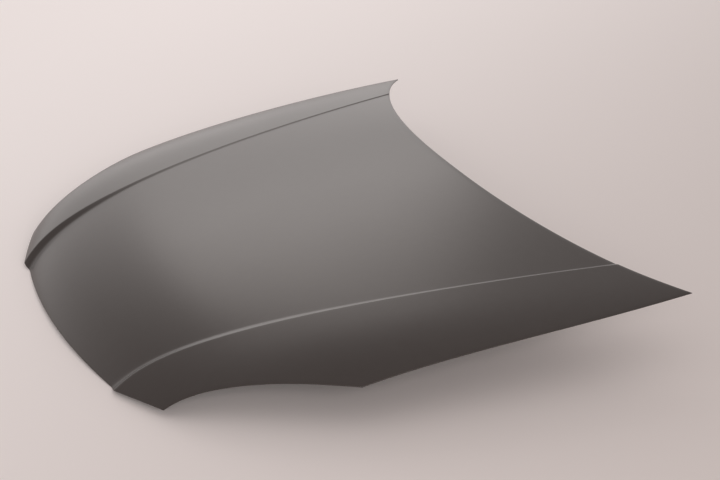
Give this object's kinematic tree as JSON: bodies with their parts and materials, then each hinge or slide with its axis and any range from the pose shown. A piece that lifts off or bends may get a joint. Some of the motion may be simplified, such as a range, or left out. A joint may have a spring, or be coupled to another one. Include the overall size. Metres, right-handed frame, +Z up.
{
  "type": "car bonnet",
  "caption": "Pressed steel car bonnet in grey primer: a skin with a recessed centre panel and headlight cut-outs, hemmed round a ribbed inner frame with hinge seats and a striker",
  "frame": {"origin": "under the middle of the bonnet's box, level with its lowest point, the front edge", "axes": "+X runs back towards the windscreen, +Y to the car's right, +Z up, in the attitude of the closed bonnet"},
  "size_m": [1.18, 1.4554, 0.2064],
  "materials": {
    "skin_primer": "satin grey electrocoat primer",
    "frame_primer": "matt grey electrocoat primer",
    "zinc_plate": "bright zinc plate",
    "mastic": "matt anti-flutter mastic"
  },
  "bodies": {
    "root": {"outer_skin": "skin_primer", "inner_frame": "frame_primer", "dent_brace": "frame_primer", "hinge_brace_left": "frame_primer", "hinge_nut_left_1": "zinc_plate", "hinge_nut_left_2": "zinc_plate", "hinge_brace_right": "frame_primer", "hinge_nut_right_1": "zinc_plate", "hinge_nut_right_2": "zinc_plate", "striker_brace": "frame_primer", "striker_plate": "zinc_plate", "striker_loop": "zinc_plate", "striker_nut_1": "zinc_plate", "striker_bolt_1": "zinc_plate", "striker_nut_2": "zinc_plate", "striker_bolt_2": "zinc_plate", "mastic_dab_01": "mastic", "mastic_dab_02": "mastic", "mastic_dab_03": "mastic", "mastic_dab_04": "mastic", "mastic_dab_05": "mastic", "mastic_dab_06": "mastic", "mastic_dab_07": "mastic", "mastic_dab_08": "mastic", "mastic_dab_09": "mastic", "mastic_dab_10": "mastic", "mastic_dab_11": "mastic", "mastic_dab_12": "mastic", "mastic_dab_13": "mastic", "mastic_dab_14": "mastic", "mastic_dab_15": "mastic", "mastic_dab_16": "mastic"}
  },
  "joints": []
}
